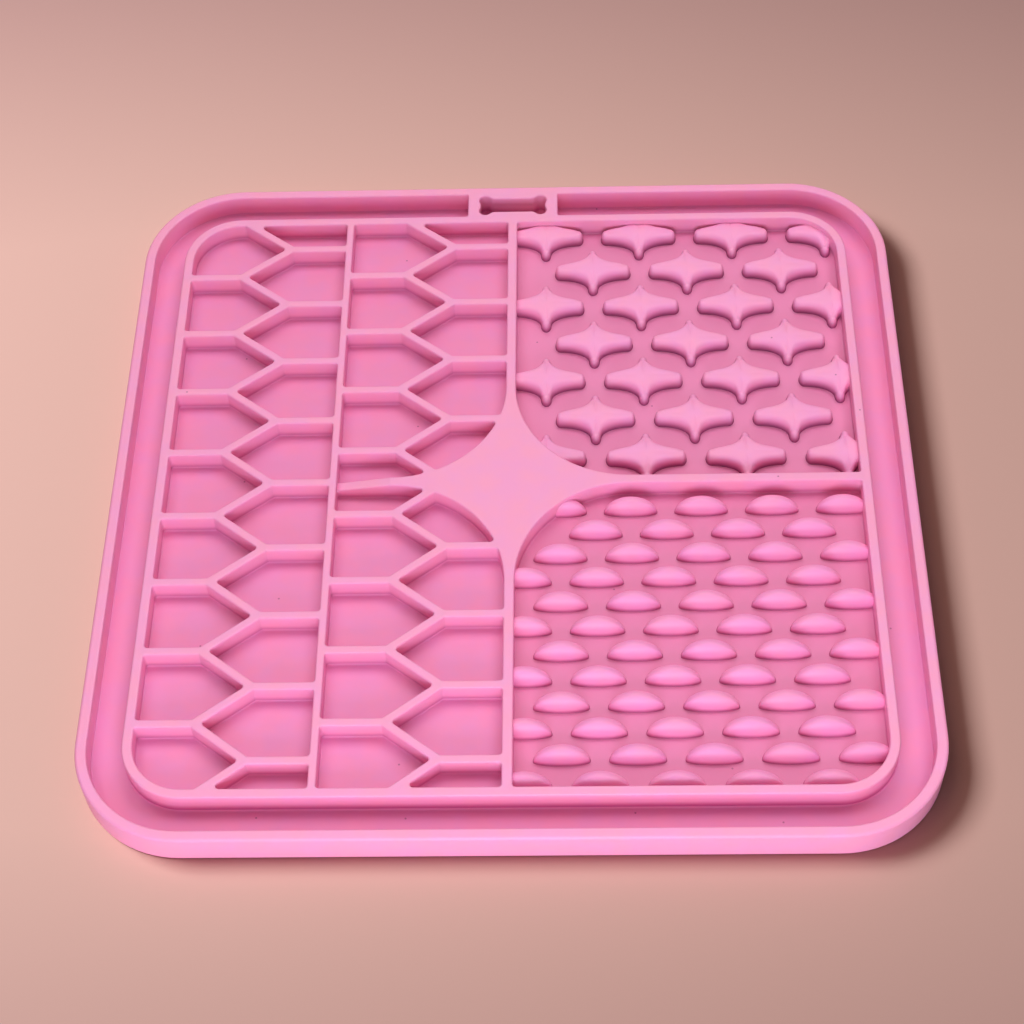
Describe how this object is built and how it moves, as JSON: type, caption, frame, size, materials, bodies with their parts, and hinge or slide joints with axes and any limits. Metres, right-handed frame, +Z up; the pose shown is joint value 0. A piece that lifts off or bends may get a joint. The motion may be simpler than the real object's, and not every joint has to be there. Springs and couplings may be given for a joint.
{
  "type": "lick mat",
  "caption": "Square silicone lick mat with a rim and channel round four textured fields of cells, stars and grains, a hanging tab with a bone-shaped hole, and suction cups underneath.",
  "frame": {"origin": "middle of the mat's underside, on the surface that it lies on", "axes": "+Z up out of the licking side, +Y towards the edge with the hanging hole, +X to the right"},
  "size_m": [0.2, 0.2, 0.0088],
  "materials": {
    "silicone": "matte pink silicone"
  },
  "bodies": {
    "root": {"outer_rim": "silicone", "channel_base": "silicone", "inner_frame": "silicone", "floor_sheet": "silicone", "hanging_tab": "silicone", "centre_star": "silicone", "sloping_arm": "silicone", "back_divider": "silicone", "front_divider": "silicone", "right_divider": "silicone", "column_divider": "silicone", "outer_left_ribs": "silicone", "outer_right_ribs": "silicone", "outer_rising_ribs": "silicone", "outer_falling_ribs": "silicone", "inner_left_ribs": "silicone", "inner_right_ribs": "silicone", "inner_rising_ribs": "silicone", "inner_falling_ribs": "silicone", "star_bumps": "silicone", "grain_bumps": "silicone", "suction_cups": "silicone"}
  },
  "joints": []
}
